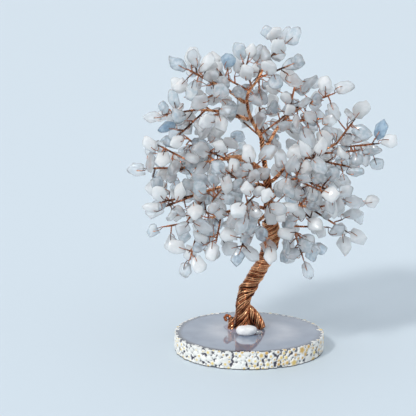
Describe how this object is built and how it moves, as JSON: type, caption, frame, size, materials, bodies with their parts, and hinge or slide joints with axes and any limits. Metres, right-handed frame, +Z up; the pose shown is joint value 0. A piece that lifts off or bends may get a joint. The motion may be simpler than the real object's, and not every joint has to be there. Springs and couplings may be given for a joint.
{
  "type": "gemstone tree ornament",
  "caption": "Wire tree ornament: tumbled translucent stone chips on twisted copper wire twigs, a wire-wound trunk with spread roots, standing on a thick polished agate slice.",
  "frame": {"origin": "middle of the agate slice's outline, on the flat underside that it stands on", "axes": "+Z up along the trunk, +X to the right and -Y towards the viewer of the front"},
  "size_m": [0.1872, 0.1336, 0.2265],
  "materials": {
    "gemstone": "tumbled translucent pale grey-blue stone",
    "agate": "polished grey agate with a rough white and ochre crust on the rim",
    "white_stone": "tumbled opaque white stone",
    "clear_glue": "set clear glue",
    "copper_wire": "bright drawn copper wire",
    "twig_wire": "fine copper wire, twisted in pairs"
  },
  "bodies": {
    "stand": {"agate_slice": "agate", "crown_limb_stem": "copper_wire", "crown_limb_stones": "gemstone", "crown_limb_twigs": "twig_wire", "glue_puddle": "clear_glue", "leader": "copper_wire", "root_back": "copper_wire", "root_back_left": "copper_wire", "root_left_loop": "copper_wire", "root_right": "copper_wire", "trunk_core": "copper_wire", "trunk_winding": "copper_wire", "upper_trunk": "copper_wire", "white_pebble": "white_stone"},
    "back_left_limb": {"back_left_limb_stem": "copper_wire", "back_left_limb_stones": "gemstone", "back_left_limb_twigs": "twig_wire"},
    "back_limb": {"back_limb_stem": "copper_wire", "back_limb_stones": "gemstone", "back_limb_twigs": "twig_wire"},
    "back_right_limb": {"back_right_limb_stem": "copper_wire", "back_right_limb_stones": "gemstone", "back_right_limb_twigs": "twig_wire"},
    "front_limb": {"front_limb_stem": "copper_wire", "front_limb_stones": "gemstone", "front_limb_twigs": "twig_wire"},
    "front_low_limb": {"front_low_limb_stem": "copper_wire", "front_low_limb_stones": "gemstone", "front_low_limb_twigs": "twig_wire"},
    "front_right_limb": {"front_right_limb_stem": "copper_wire", "front_right_limb_stones": "gemstone", "front_right_limb_twigs": "twig_wire"},
    "left_front_limb": {"left_front_limb_stem": "copper_wire", "left_front_limb_stones": "gemstone", "left_front_limb_twigs": "twig_wire"},
    "left_hanging_limb": {"left_hanging_limb_stem": "copper_wire", "left_hanging_limb_stones": "gemstone", "left_hanging_limb_twigs": "twig_wire"},
    "left_limb": {"left_limb_stem": "copper_wire", "left_limb_stones": "gemstone", "left_limb_twigs": "twig_wire"},
    "right_hanging_limb": {"right_hanging_limb_stem": "copper_wire", "right_hanging_limb_stones": "gemstone", "right_hanging_limb_twigs": "twig_wire"},
    "right_limb": {"right_limb_stem": "copper_wire", "right_limb_stones": "gemstone", "right_limb_twigs": "twig_wire"},
    "right_low_limb": {"right_low_limb_stem": "copper_wire", "right_low_limb_stones": "gemstone", "right_low_limb_twigs": "twig_wire"},
    "top_left_limb": {"top_left_limb_stem": "copper_wire", "top_left_limb_stones": "gemstone", "top_left_limb_twigs": "twig_wire"},
    "upper_left_limb": {"upper_left_limb_stem": "copper_wire", "upper_left_limb_stones": "gemstone", "upper_left_limb_twigs": "twig_wire"},
    "upper_right_limb": {"upper_right_limb_stem": "copper_wire", "upper_right_limb_stones": "gemstone", "upper_right_limb_twigs": "twig_wire"}
  },
  "joints": [
    {"name": "top_left_fork", "type": "hinge", "parent": "stand", "child": "top_left_limb", "pos_m": [-0.00693, 0.00615, 0.175], "axis": [-0.2305, 0.9731, 0], "range_deg": [-8, 7]},
    {"name": "upper_right_fork", "type": "hinge", "parent": "stand", "child": "upper_right_limb", "pos_m": [0.01149, 0.00624, 0.145], "axis": [-0.1865, -0.9825, 0], "range_deg": [-8, 8]},
    {"name": "upper_left_fork", "type": "hinge", "parent": "stand", "child": "upper_left_limb", "pos_m": [-0.00448, 0.00616, 0.163], "axis": [-0.2275, 0.9738, 0], "range_deg": [-8, 8]},
    {"name": "left_fork", "type": "hinge", "parent": "stand", "child": "left_limb", "pos_m": [0.00579, 0.00674, 0.127], "axis": [-0.0628, 0.998, 0], "range_deg": [-3, 6]},
    {"name": "left_front_fork", "type": "hinge", "parent": "stand", "child": "left_front_limb", "pos_m": [0.0066, 0.00475, 0.117], "axis": [-0.4254, 0.905, 0], "range_deg": [-8, 5]},
    {"name": "right_fork", "type": "hinge", "parent": "stand", "child": "right_limb", "pos_m": [0.01625, 0.007, 0.12], "axis": [0, -1, 0], "range_deg": [-6, 7]},
    {"name": "front_right_fork", "type": "hinge", "parent": "stand", "child": "front_right_limb", "pos_m": [0.01557, 0.00308, 0.113], "axis": [-0.7399, -0.6727, 0], "range_deg": [-5, 6]},
    {"name": "front_fork", "type": "hinge", "parent": "stand", "child": "front_limb", "pos_m": [0.01074, 0.0018, 0.109], "axis": [-0.9808, 0.195, 0], "range_deg": [-8, 7]},
    {"name": "right_low_fork", "type": "hinge", "parent": "stand", "child": "right_low_limb", "pos_m": [0.01685, 0.00604, 0.103], "axis": [-0.1803, -0.9836, 0], "range_deg": [-8, 7]},
    {"name": "right_hanging_fork", "type": "hinge", "parent": "stand", "child": "right_hanging_limb", "pos_m": [0.01699, 0.00425, 0.097], "axis": [-0.5185, -0.8551, 0], "range_deg": [-8, 8]},
    {"name": "left_hanging_fork", "type": "hinge", "parent": "stand", "child": "left_hanging_limb", "pos_m": [0.00677, 0.00571, 0.101], "axis": [-0.2436, 0.9699, 0], "range_deg": [-8, 3]},
    {"name": "front_low_fork", "type": "hinge", "parent": "stand", "child": "front_low_limb", "pos_m": [0.01036, 0.00213, 0.097], "axis": [-0.9186, 0.3953, 0], "range_deg": [-8, 8]},
    {"name": "back_left_fork", "type": "hinge", "parent": "stand", "child": "back_left_limb", "pos_m": [0.00804, 0.01064, 0.111], "axis": [0.6865, 0.7272, 0], "range_deg": [-8, 8]},
    {"name": "back_right_fork", "type": "hinge", "parent": "stand", "child": "back_right_limb", "pos_m": [0.01528, 0.01082, 0.106], "axis": [0.7217, -0.6923, 0], "range_deg": [-8, 8]},
    {"name": "back_fork", "type": "hinge", "parent": "stand", "child": "back_limb", "pos_m": [0.00885, 0.01109, 0.132], "axis": [0.9979, 0.0655, 0], "range_deg": [-8, 6]}
  ]
}
